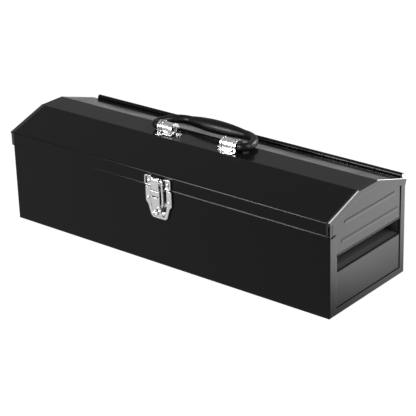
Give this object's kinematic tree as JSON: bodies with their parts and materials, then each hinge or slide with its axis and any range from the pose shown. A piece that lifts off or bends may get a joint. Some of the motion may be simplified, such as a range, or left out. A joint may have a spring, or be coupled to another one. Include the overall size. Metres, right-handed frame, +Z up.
{
  "type": "metal tool box",
  "caption": "Long hip-roof steel tool box with a hinged lid, folding carry handle, chrome draw latch, recessed end hand-holds and a lift-out tray.",
  "frame": {"origin": "centre of the bottom face", "axes": "+X along the length, -Y is the front with the latch, +Z is up"},
  "size_m": [0.4876, 0.1711, 0.1528],
  "materials": {
    "black_enamel": "gloss black enamel",
    "tray_enamel": "satin black enamel",
    "plated_steel": "bright nickel plating",
    "bare_steel": "zinc plated",
    "moulded_grip": "glossy moulded"
  },
  "bodies": {
    "box": {"body_shell": "black_enamel", "end_panel_left": "black_enamel", "end_panel_right": "black_enamel", "hand_hold_left": "black_enamel", "hand_hold_right": "black_enamel", "hinge_leaf_body": "black_enamel", "hinge_rod": "plated_steel", "latch_base": "plated_steel", "latch_base_rivets": "plated_steel", "padlock_staple": "plated_steel", "lever_pin": "plated_steel"},
    "lid": {"lid_shell": "black_enamel", "hinge_leaf_lid": "black_enamel", "latch_keeper": "plated_steel", "keeper_rivets": "plated_steel", "handle_bracket_left": "plated_steel", "handle_bracket_right": "plated_steel", "bracket_rivets": "plated_steel", "bracket_backing": "bare_steel"},
    "handle": {"handle_core": "bare_steel", "handle_grip": "moulded_grip"},
    "lever": {"latch_lever": "plated_steel"},
    "bail": {"latch_bail": "plated_steel"},
    "tray": {"tray_pan": "tray_enamel", "tray_partition": "tray_enamel", "tray_handle": "bare_steel", "tray_rivets": "bare_steel"}
  },
  "joints": [
    {"name": "lid_hinge", "type": "hinge", "parent": "box", "child": "lid", "pos_m": [0, 0.079, 0.1199], "axis": [-1, 0, 0], "range_deg": [0, 110]},
    {"name": "handle_fold", "type": "hinge", "parent": "lid", "child": "handle", "pos_m": [0.003, -0.0045, 0.1443], "axis": [1, 0, 0], "range_deg": [0, 180]},
    {"name": "latch_lever", "type": "hinge", "parent": "box", "child": "lever", "pos_m": [0, -0.082, 0.0955], "axis": [-1, 0, 0], "range_deg": [0, 100]},
    {"name": "bail_swing", "type": "hinge", "parent": "lever", "child": "bail", "pos_m": [0, -0.0816, 0.0825], "axis": [-1, 0, 0], "range_deg": [-115, 0]},
    {"name": "tray_lift", "type": "slide", "parent": "box", "child": "tray", "axis": [0, 0, 1], "range_m": [0, 0.006]}
  ],
  "couplings": [
    {"joint": "bail_swing", "follows": "latch_lever", "ratio": -1.15}
  ]
}
